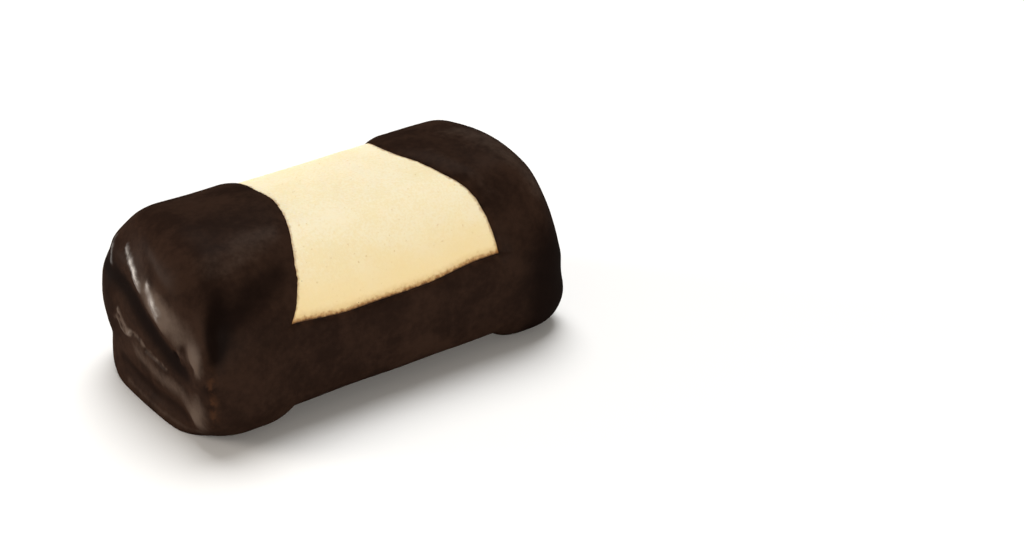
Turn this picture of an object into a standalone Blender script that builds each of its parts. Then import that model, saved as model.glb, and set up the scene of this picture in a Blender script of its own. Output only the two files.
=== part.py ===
# Chocolate-dipped marzipan cake: a small bar of sponge wrapped in pale marzipan, uncut, whose base,
# lower sides and both ends are dipped in dark chocolate. A window of bare marzipan is left across
# the top. Metres, +Z up, +X along the bar, origin on the floor under the middle of the bar.

import math

import bmesh
import bpy
import numpy as np
from mathutils import Vector, noise

# Form of the bare cake, and of the same cake with a thick coat dipped over it. The chocolate's outer
# skin goes from the first to the second at the edge of each dipped end.
GAP = 0.0003  # clearance between the chocolate and the marzipan
BARE = {
    "half_length": 0.0332,
    "half_width": 0.0190,
    "base": 0.0024,
    "top": 0.0291,
    "crown": 0.0055,  # rise of the rounded top above the shoulders
    "shoulder": 0.0104,
    "base_corner": 0.0044,
    "plan_corner": 0.0066,  # upright corners, seen from above
    "end_top_round": 0.0082,  # where the top rolls over into an end
    "end_base_round": 0.0006,
    "end_bulge": 0.0004,
}
DIPPED = {
    "half_length": 0.0347,
    "half_width": 0.0203,
    "base": 0.0,
    "top": 0.0298,
    "crown": 0.0055,
    "shoulder": 0.0116,
    "base_corner": 0.0058,
    "plan_corner": 0.0081,
    "end_top_round": 0.0092,
    "end_base_round": 0.0003,
    "end_bulge": 0.0004,
}
BAND = 0.00045  # thickness of the thin dip along the base
RIM = 0.0002  # thickness right at the window's edge
CAP_LIP = 0.0016  # width over which a cap's edge rounds off
CAP_LIP_UNDERNEATH = 0.0044
BAND_LIP = 0.0009

# The handmade bar is not quite even: its top climbs a little to the right
TOP_CLIMB = 0.00045
CLIMB_HALF_LENGTH = 0.0200

# Where the window of bare marzipan ends
WINDOW_FOOT = 0.0172  # height of the base dip's edge
LEFT_AT_TOP = -0.01204
LEFT_LEAN_DOWN = 0.475
LEFT_LEAN_ACROSS = 0.09
RIGHT_AT_TOP = 0.0136
RIGHT_SPREAD = 0.00595
RIGHT_SPREAD_DROP = 0.0021
RIGHT_LEAN_BACK = 0.32
RIGHT_BEND = 0.0060  # width over which the right edge turns to lean back
FOOT_SAG = 0.0011  # the base dip's edge hangs lower in the middle
SAG_LEFT = (-0.0203, 0.0122)  # where it starts to sag, and over what length
SAG_RIGHT = (0.0155, 0.0110)

# Shifts of the caps' edges in millimetres, by the distance round the bar from the middle of the top
# toward the front
LEFT_SHIFTS = (
    (-3.0, 0.0),
    (1.3, 0.7),
    (4.6, 0.8),
    (7.2, 0.6),
    (10.1, 0.0),
    (12.0, -0.2),
    (15.6, 0.1),
    (17.2, 0.5),
    (21.5, 0.6),
    (24.0, 0.1),
)
RIGHT_SHIFTS = ((-4.0, 0.0), (0.0, 0.3), (2.6, 0.6), (7.3, 0.6), (10.0, 0.3), (13.5, 0.2), (16.0, 0.0))
MILLIMETRE = 0.001

# Unevenness of the handmade surfaces
MARZIPAN_WAVE = 0.00015
CHOCOLATE_WAVE = 0.00022
WAVE_LENGTH = 0.011
MARZIPAN_SEED = 2.1
CHOCOLATE_SEED = 7.3
FOOT_FADE = 0.0030  # the chocolate's relief dies out this far above the tray

# The upright corner at the left of the front is squarer in plan than the others, but for its foot
CORNER_POWER = 5.0
CORNER_FADE_FROM = 0.0262  # height from which it turns round again
CORNER_FADE_OVER = 0.0090
CORNER_FOOT_HEIGHT = 0.0065

# Flap of chocolate under a fold across the left end, and the bead of chocolate along the foot there
FOLD_LEVEL = 0.0109
FOLD_STEP = 0.0003
FOLD_FADE = 0.0030
FOLD_HALF_WIDTH = 0.0105
FOLD_MIDDLE_Y = 0.0020
FOLD_SIDE_FADE = 0.0030
BEAD = 0.0008
BEAD_HALF_WIDTH = 0.0150
BEAD_HEIGHT = 0.0034

# Bumps in the chocolate, such as the knot beside the fold, and hollows where the height is negative
BUMPS = (  # x, y, z, radius, height
    (-0.034, -0.0121, 0.0137, 0.0020, -0.00035),
    (-0.034, 0.0062, 0.0215, 0.0026, -0.00025),
    (-0.034, -0.0030, 0.0060, 0.0030, -0.00010),
    (-0.0351, 0.0085, 0.0120, 0.0034, 0.00075),
    (-0.033, 0.0152, 0.0062, 0.0036, -0.00110),
    (-0.033, 0.0130, 0.0195, 0.0050, 0.00060),
    (0.033, -0.0160, 0.0058, 0.0030, 0.00060),
    (0.033, -0.0155, 0.0120, 0.0016, 0.00020),
)

# Mesh layout: segments of the half ring and of the rows along the bar
BASE_SEGMENTS = 6
SIDE_SEGMENTS = 5
TOP_SEGMENTS = 14
END_ROWS = 6
CAP_ROWS = 4
WINDOW_ROWS = 9
LIP_STEPS = (0.0, 0.12, 0.45, 1.0)  # distances in from a dipped edge, in lip widths
PROFILE_POINTS = 60

CHOCOLATE_COLOUR = (0.024, 0.013, 0.009, 1.0)
CHOCOLATE_ROUGHNESS = 0.35
MARZIPAN_COLOUR = (0.93, 0.80, 0.52, 1.0)
MARZIPAN_ROUGHNESS = 0.6


def clear_scene():
    for old in list(bpy.data.objects):
        bpy.data.objects.remove(old, do_unlink=True)


def quarter_round(share):
    """0 to 1 as a quarter circle: steep at 0, level at 1."""
    share = np.clip(share, 0.0, 1.0)
    return np.sqrt(1.0 - (1.0 - share) ** 2)


def smooth_step(share):
    share = np.clip(share, 0.0, 1.0)
    return share * share * (3.0 - 2.0 * share)


def drawn_in(distance_from_end, radius):
    """How far a surface rounded with this radius has drawn in, at a distance from the end."""
    return radius * (1.0 - quarter_round(distance_from_end / radius))


def half_section(form, x):
    """Dense profile of a form at x, from the middle of the base to the middle of the top."""
    from_end = form["half_length"] - abs(x)
    half_width = form["half_width"] - drawn_in(from_end, form["plan_corner"])
    top_drop = drawn_in(from_end, form["end_top_round"])
    base_rise = drawn_in(from_end, form["end_base_round"])
    base = form["base"] + base_rise
    straight_height = form["top"] - form["crown"] - form["base"]
    side_height = straight_height - top_drop - base_rise
    shoulder = form["shoulder"] - top_drop / 2
    corner = form["base_corner"] - base_rise / 2
    turn = np.linspace(0.0, math.pi / 2, PROFILE_POINTS)
    level = np.zeros(PROFILE_POINTS)
    bottom = np.column_stack([np.linspace(0.0, half_width - corner, PROFILE_POINTS), level])
    low = np.column_stack([half_width - corner + corner * np.sin(turn), corner - corner * np.cos(turn)])
    high_z = side_height - shoulder + shoulder * np.sin(turn)
    high = np.column_stack([half_width - shoulder + shoulder * np.cos(turn), high_z])
    over = np.column_stack([np.linspace(half_width - shoulder, 0.0, PROFILE_POINTS), level + side_height])
    points = np.vstack([bottom[:-1], low, high, over[1:]])
    across, up = points[:, 0] / half_width, points[:, 1] / side_height
    points[:, 1] += base + form["crown"] * (1.0 - across**2) * up**2
    line_share = (WINDOW_FOOT - form["base"]) / straight_height
    return points, half_width - corner, line_share * side_height + base


def ring_section(form, x, line_drop):
    """The half profile at x, resampled to the ring's segments: base, side up to the dip line, top."""
    points, corner_y, line_z = half_section(form, x)
    along = np.concatenate([[0.0], np.cumsum(np.linalg.norm(np.diff(points, axis=0), axis=1))])
    at_corner = corner_y + form["base_corner"] * math.pi / 4
    at_line = np.interp(line_z - line_drop, points[:, 1], along)
    lip = at_line - BAND_LIP * np.array(LIP_STEPS[::-1])
    stops = np.concatenate(
        [
            np.linspace(0.0, at_corner, BASE_SEGMENTS + 1)[:-1],
            np.linspace(at_corner, lip[0], SIDE_SEGMENTS + 1)[:-1],
            lip[:-1],
            np.linspace(at_line, along[-1], TOP_SEGMENTS + 1),
        ]
    )
    return np.column_stack([np.interp(stops, along, points[:, k]) for k in (0, 1)])


def whole_ring(form, x, line_drop=0.0):
    """The closed ring at x: up the front, y negative, over the top and down the back."""
    half = ring_section(form, x, line_drop)
    front = half * (-1.0, 1.0)
    return np.vstack([front, half[-2:0:-1]])


def left_dip_line(y, z):
    """x of the left cap's edge: a tilted plane, as the chocolate's level was, upright below the window."""
    drop = BARE["top"] - np.maximum(z, WINDOW_FOOT)
    return LEFT_AT_TOP - LEFT_LEAN_DOWN * drop + LEFT_LEAN_ACROSS * y


def right_dip_line(y, z):
    """x of the right cap's edge: it spreads out quickly over the shoulder, then runs upright."""
    drop = BARE["top"] - np.maximum(z, WINDOW_FOOT)
    spread = RIGHT_SPREAD * (1.0 - np.exp(-drop / RIGHT_SPREAD_DROP))
    toward_back = (y + np.sqrt(y**2 + RIGHT_BEND**2)) / 2
    return RIGHT_AT_TOP + spread - RIGHT_LEAN_BACK * toward_back


def edge_shift(shifts, ring):
    """Shift of a cap's edge at each point of the ring."""
    steps = np.linalg.norm(np.diff(ring, axis=0), axis=1)
    along = np.concatenate([[0.0], np.cumsum(steps)])
    where, by = np.array(shifts).T * MILLIMETRE
    return np.interp(along[len(ring) // 2] - along, where, by)


def foot_sag(x):
    left, over_left = SAG_LEFT
    right, over_right = SAG_RIGHT
    return FOOT_SAG * smooth_step((x - left) / over_left) * smooth_step((right - x) / over_right)


def end_stations(form):
    """x of the rows over a rounded end, from the end inwards, on the positive side."""
    turn = np.linspace(0.0, math.pi / 2, END_ROWS + 1)
    return form["half_length"] - form["end_top_round"] * (1.0 - np.cos(turn))


class Loaf:
    """Vertex places and faces of a form, with what the chocolate needs to know of each vertex."""

    def __init__(self, form):
        self.form = form
        self.ring_size = 2 * (BASE_SEGMENTS + SIDE_SEGMENTS + len(LIP_STEPS) - 1 + TOP_SEGMENTS)
        self.line_index = BASE_SEGMENTS + SIDE_SEGMENTS + len(LIP_STEPS) - 1
        self.places = []
        self.past_cap = []  # distance inside a cap's edge, along the bar
        self.below_line = []  # distance below the base dip's edge, along the section
        self.faces = []
        self.bare = []  # True for a face that no chocolate covers
        self.make_tube()
        for side in (-1, 1):
            self.make_end(side)
        self.places = uneven(np.array(self.places))

    def make_tube(self):
        middle = whole_ring(self.form, 0.0)
        bare_middle = whole_ring(BARE, 0.0)
        left = left_dip_line(bare_middle[:, 0], bare_middle[:, 1]) + edge_shift(LEFT_SHIFTS, bare_middle)
        right = right_dip_line(bare_middle[:, 0], bare_middle[:, 1]) + edge_shift(RIGHT_SHIFTS, bare_middle)
        ends = end_stations(self.form)
        lip = CAP_LIP * np.array(LIP_STEPS)
        rows = [np.full(self.ring_size, -x) for x in ends]
        rows += [
            -ends[-1] + (left - lip[-1] + ends[-1]) * share for share in np.linspace(0, 1, CAP_ROWS + 1)[1:]
        ]
        rows += [left - back for back in lip[-2::-1]]
        self.first_window_row = len(rows) - 1
        rows += [left + (right - left) * share for share in np.linspace(0, 1, WINDOW_ROWS + 1)[1:]]
        self.last_window_row = len(rows) - 1
        rows += [right + on for on in lip[1:]]
        rows += [
            right + lip[-1] + (ends[-1] - right - lip[-1]) * share
            for share in np.linspace(0, 1, CAP_ROWS + 1)[1:]
        ]
        rows += [np.full(self.ring_size, x) for x in ends[-2::-1]]
        below = self.distance_below_line(middle)
        for number, row in enumerate(rows):
            at_end = min(number, len(rows) - 1 - number) <= END_ROWS
            sag = 0.0 if at_end else foot_sag(row[self.line_index])
            section = whole_ring(self.form, row[0] if at_end else 0.0, sag)
            for index in range(self.ring_size):
                self.places.append((row[index], section[index, 0], section[index, 1]))
                self.past_cap.append(max(left[index] - row[index], row[index] - right[index]))
                self.below_line.append(below[index])
        for row in range(len(rows) - 1):
            for index in range(self.ring_size):
                after = (index + 1) % self.ring_size
                here, there = row * self.ring_size, (row + 1) * self.ring_size
                self.faces.append((here + index, there + index, there + after, here + after))
                in_rows = self.first_window_row <= row < self.last_window_row
                in_ring = self.line_index <= index < self.ring_size - self.line_index
                self.bare.append(in_rows and in_ring)
        self.row_count = len(rows)

    def distance_below_line(self, ring):
        """Along the section, from each ring vertex up to the base dip's edge; negative above it."""
        half = self.ring_size // 2
        steps = np.linalg.norm(np.diff(ring[: half + 1], axis=0), axis=1)
        along = np.concatenate([[0.0], np.cumsum(steps)])
        below = along[self.line_index] - along
        return np.concatenate([below, below[-2:0:-1]])

    def make_end(self, side):
        """A grid over the end face, blended from the four sides of the last ring."""
        half = self.ring_size // 2
        across, up = 2 * BASE_SEGMENTS, half - 2 * BASE_SEGMENTS
        start = 0 if side < 0 else (self.row_count - 1) * self.ring_size
        grid = np.zeros((up + 1, across + 1), int)
        for column in range(across + 1):
            grid[0, column] = start + (BASE_SEGMENTS - column) % self.ring_size
            grid[up, column] = start + BASE_SEGMENTS + up + column
        for row in range(up + 1):
            grid[row, 0] = start + BASE_SEGMENTS + row
            grid[row, across] = start + self.ring_size - BASE_SEGMENTS - row
        edge = np.array(self.places)
        low, high, left, right = edge[grid[0]], edge[grid[up]], edge[grid[:, 0]], edge[grid[:, across]]
        for row in range(1, up):
            for column in range(1, across):
                v, u = row / up, column / across
                place = (1 - v) * low[column] + v * high[column] + (1 - u) * left[row] + u * right[row]
                place -= (1 - u) * ((1 - v) * low[0] + v * high[0])
                place -= u * ((1 - v) * low[across] + v * high[across])
                crowning = 16 * u * (1 - u) * v * (1 - v)  # 1 in the middle and 0 along the edges
                place[0] += side * self.form["end_bulge"] * crowning
                grid[row, column] = len(self.places)
                self.places.append(tuple(place))
                self.past_cap.append(1.0)
                self.below_line.append(1.0)
        for row in range(up):
            for column in range(across):
                below, above = grid[row, column : column + 2], grid[row + 1, column : column + 2]
                face = (below[0], below[1], above[1], above[0])
                self.faces.append(face[::side])
                self.bare.append(False)


def uneven(places):
    """The even loaf, with its top climbing to the right."""
    climbed = places.copy()
    along = smooth_step(places[:, 0] / (2 * CLIMB_HALF_LENGTH) + 0.5)
    climbed[:, 2] += TOP_CLIMB * along * (places[:, 2] / BARE["top"]) ** 2
    return climbed


def wave(places, strength, seed):
    """Broad unevenness of a surface."""
    shift = Vector((seed, 0.0, 0.0))
    return strength * np.array([noise.noise(Vector(place) / WAVE_LENGTH + shift) for place in places])


def near_left_end(x):
    reach = DIPPED["end_top_round"] / 2
    return smooth_step((-x - DIPPED["half_length"] + reach) / reach)


def bead(places):
    """Height of the bead of chocolate along the foot of the left end."""
    x, y, z = places.T
    across = np.clip(1.0 - (y / BEAD_HALF_WIDTH) ** 2, 0.0, 1.0)
    return BEAD * near_left_end(x) * across * smooth_step(1.0 - z / BEAD_HEIGHT)


def relief(places):
    """Height of the chocolate's flap over the left end, and of its bumps and hollows."""
    x, y, z = places.T
    below = FOLD_LEVEL - z
    flap = np.where(below > 0.0, np.exp(-((below / FOLD_FADE) ** 2)), 0.0)
    across = smooth_step((FOLD_HALF_WIDTH - np.abs(y - FOLD_MIDDLE_Y)) / FOLD_SIDE_FADE)
    heights = FOLD_STEP * flap * across * near_left_end(x)
    for *middle, radius, height in BUMPS:
        distance = np.linalg.norm(places - middle, axis=1)
        heights += height * np.exp(-((distance / radius) ** 2))
    return heights


def sharpen_corner(places):
    """Turns the round plan of the front left corner into a squarer one."""
    radius = DIPPED["plan_corner"]
    to_left = -(DIPPED["half_length"] - radius) - places[:, 0]
    to_front = -(DIPPED["half_width"] - radius) - places[:, 1]
    inside = (to_left > 0.0) & (to_front > 0.0)
    to_left, to_front, height = to_left[inside], to_front[inside], places[inside, 2]
    away = np.hypot(to_left, to_front)
    low = smooth_step((CORNER_FADE_FROM - height) / CORNER_FADE_OVER)
    foot = smooth_step(height / CORNER_FOOT_HEIGHT)
    power = 2.0 + (CORNER_POWER - 2.0) * foot * low
    scale = ((to_left / away) ** power + (to_front / away) ** power) ** (-1.0 / power) - 1.0
    squarer = places.copy()
    squarer[inside, 0] -= to_left * scale
    squarer[inside, 1] -= to_front * scale
    return squarer


def chocolate_skins(loaf, bare_places):
    """Outer and inner skin of the chocolate: a thin band, and the dipped form inside a cap's edge."""
    normals = vertex_normals(bare_places, loaf.faces)
    inner = bare_places + normals * GAP
    band = BAND * quarter_round(np.array(loaf.below_line) / BAND_LIP)
    with_band = inner + normals * np.maximum(band, RIM)[:, None]
    dipped = Loaf(DIPPED)
    dipped_places = sharpen_corner(dipped.places)
    dipped_normals = vertex_normals(dipped_places, dipped.faces)
    heights = relief(dipped_places) + wave(dipped_places, CHOCOLATE_WAVE, CHOCOLATE_SEED)
    heights = heights * smooth_step(dipped_places[:, 2] / FOOT_FADE) + bead(dipped_places)
    with_cap = dipped_places + dipped_normals * heights[:, None]
    facing_down = smooth_step(-normals[:, 2])
    lip = CAP_LIP + (CAP_LIP_UNDERNEATH - CAP_LIP) * facing_down
    share = quarter_round(np.array(loaf.past_cap) / lip)[:, None]
    outer = with_band + (with_cap - with_band) * share
    outer[:, 2] = np.maximum(outer[:, 2], 0.0)
    return outer, inner


def make_surface(places, faces):
    surface = bmesh.new()
    for place in places:
        surface.verts.new(place)
    surface.verts.ensure_lookup_table()
    for face in faces:
        surface.faces.new([surface.verts[index] for index in face])
    surface.normal_update()
    return surface


def vertex_normals(places, faces):
    surface = make_surface(places, faces)
    normals = np.array([vertex.normal for vertex in surface.verts])
    surface.free()
    return normals


def make_object(name, places, faces, colour, roughness):
    surface = make_surface(places, faces)
    mesh = bpy.data.meshes.new(name)
    surface.to_mesh(mesh)
    surface.free()
    mesh.shade_smooth()
    material = bpy.data.materials.new(name)
    material.use_nodes = True
    shader = material.node_tree.nodes["Principled BSDF"]
    shader.inputs["Base Color"].default_value = colour
    shader.inputs["Roughness"].default_value = roughness
    shader.inputs["Metallic"].default_value = 0.0
    mesh.materials.append(material)
    made = bpy.data.objects.new(name, mesh)
    bpy.context.scene.collection.objects.link(made)
    return made


def make_marzipan_cake(loaf):
    normals = vertex_normals(loaf.places, loaf.faces)
    places = loaf.places + normals * wave(loaf.places, MARZIPAN_WAVE, MARZIPAN_SEED)[:, None]
    make_object("marzipan_cake", places, loaf.faces, MARZIPAN_COLOUR, MARZIPAN_ROUGHNESS)
    return places


def make_chocolate_coat(loaf, bare_places):
    """A shell over every face but the window's: outer skin, inner skin and the rim that joins them."""
    outer, inner = chocolate_skins(loaf, bare_places)
    covered = [face for face, bare in zip(loaf.faces, loaf.bare) if not bare]
    used = sorted({index for face in covered for index in face})
    number = {index: place for place, index in enumerate(used)}
    count = len(used)
    faces = [tuple(number[index] for index in face) for face in covered]
    faces += [tuple(number[index] + count for index in reversed(face)) for face in covered]
    directed = {(a, b) for face in covered for a, b in zip(face, face[1:] + face[:1])}
    for a, b in sorted(directed):
        if (b, a) not in directed:
            faces.append((number[b], number[a], number[a] + count, number[b] + count))
    places = np.vstack([outer[used], inner[used]])
    make_object("chocolate_coat", places, faces, CHOCOLATE_COLOUR, CHOCOLATE_ROUGHNESS)


def main():
    clear_scene()
    loaf = Loaf(BARE)
    bare_places = make_marzipan_cake(loaf)
    make_chocolate_coat(loaf, bare_places)


main()
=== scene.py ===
import math

import bpy
import numpy as np
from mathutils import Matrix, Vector, noise


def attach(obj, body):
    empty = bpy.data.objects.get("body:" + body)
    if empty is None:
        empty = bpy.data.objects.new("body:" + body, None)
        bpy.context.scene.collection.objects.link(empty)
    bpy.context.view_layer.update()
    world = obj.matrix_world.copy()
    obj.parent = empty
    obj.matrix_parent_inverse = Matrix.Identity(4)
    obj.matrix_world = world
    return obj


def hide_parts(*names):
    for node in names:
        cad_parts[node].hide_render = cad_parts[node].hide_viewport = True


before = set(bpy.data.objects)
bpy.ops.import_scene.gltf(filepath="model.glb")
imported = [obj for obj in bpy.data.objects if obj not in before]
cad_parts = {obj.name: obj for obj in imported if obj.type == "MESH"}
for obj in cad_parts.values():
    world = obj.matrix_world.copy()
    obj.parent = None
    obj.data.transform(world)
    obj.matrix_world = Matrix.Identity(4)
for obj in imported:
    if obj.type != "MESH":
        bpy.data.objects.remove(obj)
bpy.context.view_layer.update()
print("frame loaded")


# Forms of the bar, with the part's own sizes

millimetre = 0.001

bareForm = {
    "halfLength": 0.0332,
    "halfWidth": 0.019,
    "base": 0.0024,
    "top": 0.0291,
    "crown": 0.0055,  # rise of the rounded top above the shoulders
    "shoulder": 0.0104,
    "baseCorner": 0.0044,
    "planCorner": 0.0066,  # upright corners, seen from above
    "endTopRound": 0.0082,
    "endBaseRound": 0.0006,
    "endBulge": 0.0004,
}

dippedForm = bareForm | {
    "halfLength": 0.03462,
    "halfWidth": 0.0202,
    "base": 0.0,
    "top": 0.0297,
    "shoulder": 0.0116,
    "baseCorner": 0.0058,
    "planCorner": 0.0081,
    "endTopRound": 0.0092,
    "endBaseRound": 0.0003,
}

dipLines = {
    "windowFoot": 0.0172,  # height of the base dip's edge
    "leftAtTop": -0.01204,
    "leftLeanDown": 0.475,
    "leftLeanAcross": 0.09,
    "rightAtTop": 0.0136,
    "rightSpread": 0.00595,
    "rightSpreadDrop": 0.0021,
    "rightLeanBack": 0.32,
    "rightBend": 0.006,
    "wander": 0.00016,  # slow wandering of each edge
    "wanderLength": 0.005,
    "footWander": 0.25,  # share of it along the base dip
    "teeth": 0.00012,  # fine ragged edge
    "teethLength": 0.00062,
    "teethSeed": 5.0,  # added to the seed of the slow wandering
    "seeds": {"left": 11.0, "right": 23.0, "front": 37.0, "back": 41.0},
    "lipSteps": 9,
    "lipSpacing": 1.5,  # steps are closer together at the very edge
    # shifts of the caps' edges by how far down the front from the middle of the top, in mm
    "leftShifts": [
        (-3.0, 0.0), (1.3, 0.6), (4.6, 0.45), (7.2, 0.4), (10.1, 0.0), (12.0, -0.2),
        (15.6, 0.1), (17.2, 0.5), (21.5, 0.6), (24.0, 0.1),
    ],
    "rightShifts": [
        (-4.0, 0.0), (0.0, 0.3), (2.6, 0.6), (7.3, 0.6), (10.0, 0.3), (13.5, 0.2), (16.0, 0.0),
    ],
    "footSag": 0.0009,  # the base dip's edge hangs lower in the middle
    "sagLeft": (-0.0203, 0.0122),  # where it starts to sag, and over what length
    "sagRight": (0.0155, 0.011),
}

unevenness = {
    "topClimb": 0.00045,  # the top climbs a little to the right
    "climbHalfLength": 0.02,
    "waveLength": 0.011,
    "marzipanWave": 0.00015,
    "marzipanSeed": 2.1,
    "chocolateWave": 0.00022,
    "chocolateSeed": 7.3,
}

profilePoints = 160


def quarterRound(share):
    share = np.clip(share, 0.0, 1.0)
    return np.sqrt(1.0 - (1.0 - share) ** 2)


def smoothStep(share):
    share = np.clip(share, 0.0, 1.0)
    return share * share * (3.0 - 2.0 * share)


def drawnIn(fromEnd, radius):
    return radius * (1.0 - quarterRound(fromEnd / radius))


def lengthAlong(points):
    # how far each point is from the first, along the line through them all
    return np.concatenate([[0.0], np.cumsum(np.linalg.norm(np.diff(points, axis=0), axis=1))])


def noiseAt(points, length, seed):
    # the seed moves the points along a slant
    shift = Vector((seed, seed * 0.7, 0.0))
    return np.array([noise.noise(Vector(point) / length + shift) for point in points])


def halfSection(form, x):
    # dense profile at x, from the middle of the base to the middle of the top
    fromEnd = form["halfLength"] - abs(x)
    halfWidth = form["halfWidth"] - drawnIn(fromEnd, form["planCorner"])
    topDrop = drawnIn(fromEnd, form["endTopRound"])
    baseRise = drawnIn(fromEnd, form["endBaseRound"])
    base = form["base"] + baseRise
    straightHeight = form["top"] - form["crown"] - form["base"]
    sideHeight = straightHeight - topDrop - baseRise
    shoulder = form["shoulder"] - topDrop / 2
    corner = form["baseCorner"] - baseRise / 2
    turn = np.linspace(0.0, math.pi / 2, profilePoints)
    level = np.zeros(profilePoints)
    bottom = np.column_stack([np.linspace(0.0, halfWidth - corner, profilePoints), level])
    lowY = halfWidth - corner + corner * np.sin(turn)
    low = np.column_stack([lowY, corner - corner * np.cos(turn)])
    highZ = sideHeight - shoulder + shoulder * np.sin(turn)
    high = np.column_stack([halfWidth - shoulder + shoulder * np.cos(turn), highZ])
    overY = np.linspace(halfWidth - shoulder, 0.0, profilePoints)
    over = np.column_stack([overY, level + sideHeight])
    points = np.vstack([bottom[:-1], low, high, over[1:]])
    across, up = points[:, 0] / halfWidth, points[:, 1] / sideHeight
    points[:, 1] += base + form["crown"] * (1.0 - across**2) * up**2
    lineShare = (dipLines["windowFoot"] - form["base"]) / straightHeight
    return points, halfWidth - corner, lineShare * sideHeight + base


def ringSection(form, x, layout, lineShift):
    # the half profile resampled: base, side, lip of the base dip, then over the top
    points, cornerY, lineZ = halfSection(form, x)
    along = lengthAlong(points)
    atCorner = cornerY + form["baseCorner"] * math.pi / 4
    atLine = np.interp(lineZ + lineShift, points[:, 1], along)
    steps = dipLines["lipSteps"]
    lip = atLine - layout["bandLip"] * (np.arange(steps, -1, -1) / steps) ** dipLines["lipSpacing"]
    base = np.linspace(0.0, atCorner, layout["base"] + 1)[:-1]
    side = np.linspace(atCorner, lip[0], layout["side"] + 1)[:-1]
    over = np.linspace(atLine, along[-1], layout["top"] + 1)
    stops = np.concatenate([base, side, lip[:-1], over])
    return np.column_stack([np.interp(stops, along, points[:, k]) for k in (0, 1)])


def wholeRing(form, x, layout, frontShift=0.0, backShift=0.0):
    # up the front, over the top and down the back
    front = ringSection(form, x, layout, frontShift) * (-1.0, 1.0)
    back = ringSection(form, x, layout, backShift)
    return np.vstack([front, back[-2:0:-1]])


def wanderOf(s, seed):
    # how far a dipped edge strays at each distance s along it
    spots = np.column_stack([s, np.zeros(len(s)), np.zeros(len(s))])
    slow = noiseAt(spots, dipLines["wanderLength"], seed)
    teeth = noiseAt(spots, dipLines["teethLength"], seed + dipLines["teethSeed"])
    return dipLines["wander"] * slow + dipLines["teeth"] * teeth


def edgeShift(shifts, girth):
    # how far a cap's edge is shifted, by the distance round the ring
    where, by = np.array(shifts).T * millimetre
    return np.interp(girth[len(girth) // 2] - girth, where, by)


def footSag(x):
    (left, overLeft), (right, overRight) = dipLines["sagLeft"], dipLines["sagRight"]
    share = smoothStep((x - left) / overLeft) * smoothStep((right - x) / overRight)
    return dipLines["footSag"] * share


def leftDipLine(y, z):
    drop = bareForm["top"] - np.maximum(z, dipLines["windowFoot"])
    return dipLines["leftAtTop"] - dipLines["leftLeanDown"] * drop + dipLines["leftLeanAcross"] * y


def rightDipLine(y, z):
    drop = bareForm["top"] - np.maximum(z, dipLines["windowFoot"])
    spread = dipLines["rightSpread"] * (1.0 - np.exp(-drop / dipLines["rightSpreadDrop"]))
    towardBack = (y + np.sqrt(y**2 + dipLines["rightBend"] ** 2)) / 2
    return dipLines["rightAtTop"] + spread - dipLines["rightLeanBack"] * towardBack


def buildLoaf(form, layout):
    # vertex places of the whole bar in one grid of rows and rings, plus a grid over each end
    steps = dipLines["lipSteps"]
    lineIndex = layout["base"] + layout["side"] + steps
    half = lineIndex + layout["top"]
    ring = 2 * half
    middle = wholeRing(form, 0.0, layout)
    bareMiddle = wholeRing(bareForm, 0.0, layout)
    girth = lengthAlong(bareMiddle)
    seeds = dipLines["seeds"]
    left = leftDipLine(*bareMiddle.T) + wanderOf(girth, seeds["left"])
    left += edgeShift(dipLines["leftShifts"], girth)
    right = rightDipLine(*bareMiddle.T) + wanderOf(girth, seeds["right"])
    right += edgeShift(dipLines["rightShifts"], girth)
    turn = np.linspace(0.0, math.pi / 2, layout["endRows"] + 1)
    ends = form["halfLength"] - form["endTopRound"] * (1.0 - np.cos(turn))
    lip = layout["capLip"] * (np.arange(steps + 1) / steps) ** dipLines["lipSpacing"]
    capShares = np.linspace(0.0, 1.0, layout["capRows"] + 1)[1:]
    windowShares = np.linspace(0.0, 1.0, layout["windowRows"] + 1)[1:]
    rows = [np.full(ring, -x) for x in ends]
    rows += [-ends[-1] + (left - lip[-1] + ends[-1]) * share for share in capShares]
    rows += [left - back for back in lip[-2::-1]]
    firstWindowRow = len(rows) - 1
    rows += [left + (right - left) * share for share in windowShares]
    lastWindowRow = len(rows) - 1
    rows += [right + on for on in lip[1:]]
    rows += [right + lip[-1] + (ends[-1] - right - lip[-1]) * share for share in capShares]
    rows += [np.full(ring, x) for x in ends[-2::-1]]
    xs = np.array(rows)
    sag = footSag(xs[:, lineIndex])
    frontShifts = wanderOf(xs[:, lineIndex], seeds["front"]) * dipLines["footWander"] - sag
    backShifts = wanderOf(xs[:, ring - lineIndex], seeds["back"]) * dipLines["footWander"] - sag
    places = np.zeros((len(rows), ring, 3))
    for number, row in enumerate(xs):
        atEnd = min(number, len(rows) - 1 - number) <= layout["endRows"]
        places[number, :, 0] = row
        x = row[0] if atEnd else 0.0
        shifts = frontShifts[number], backShifts[number]
        places[number, :, 1:] = wholeRing(form, x, layout, *shifts)
    pastCap = np.maximum(left - xs, xs - right)
    along = lengthAlong(middle[: half + 1])
    below = along[lineIndex] - along
    belowLine = np.tile(np.concatenate([below, below[-2:0:-1]]), (len(rows), 1))
    loaf = {
        "ring": ring,
        "half": half,
        "lineIndex": lineIndex,
        "window": (firstWindowRow, lastWindowRow),
        "tube": np.arange(len(rows) * ring).reshape(len(rows), ring),
        "places": places.reshape(-1, 3),
        "pastCap": pastCap.reshape(-1),
        "belowLine": belowLine.reshape(-1),
    }
    loaf["ends"] = [addEnd(loaf, form, layout, side) for side in (-1, 1)]
    places = loaf["places"]
    climb = smoothStep(places[:, 0] / (2 * unevenness["climbHalfLength"]) + 0.5)
    places[:, 2] += unevenness["topClimb"] * climb * (places[:, 2] / bareForm["top"]) ** 2
    return loaf


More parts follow.
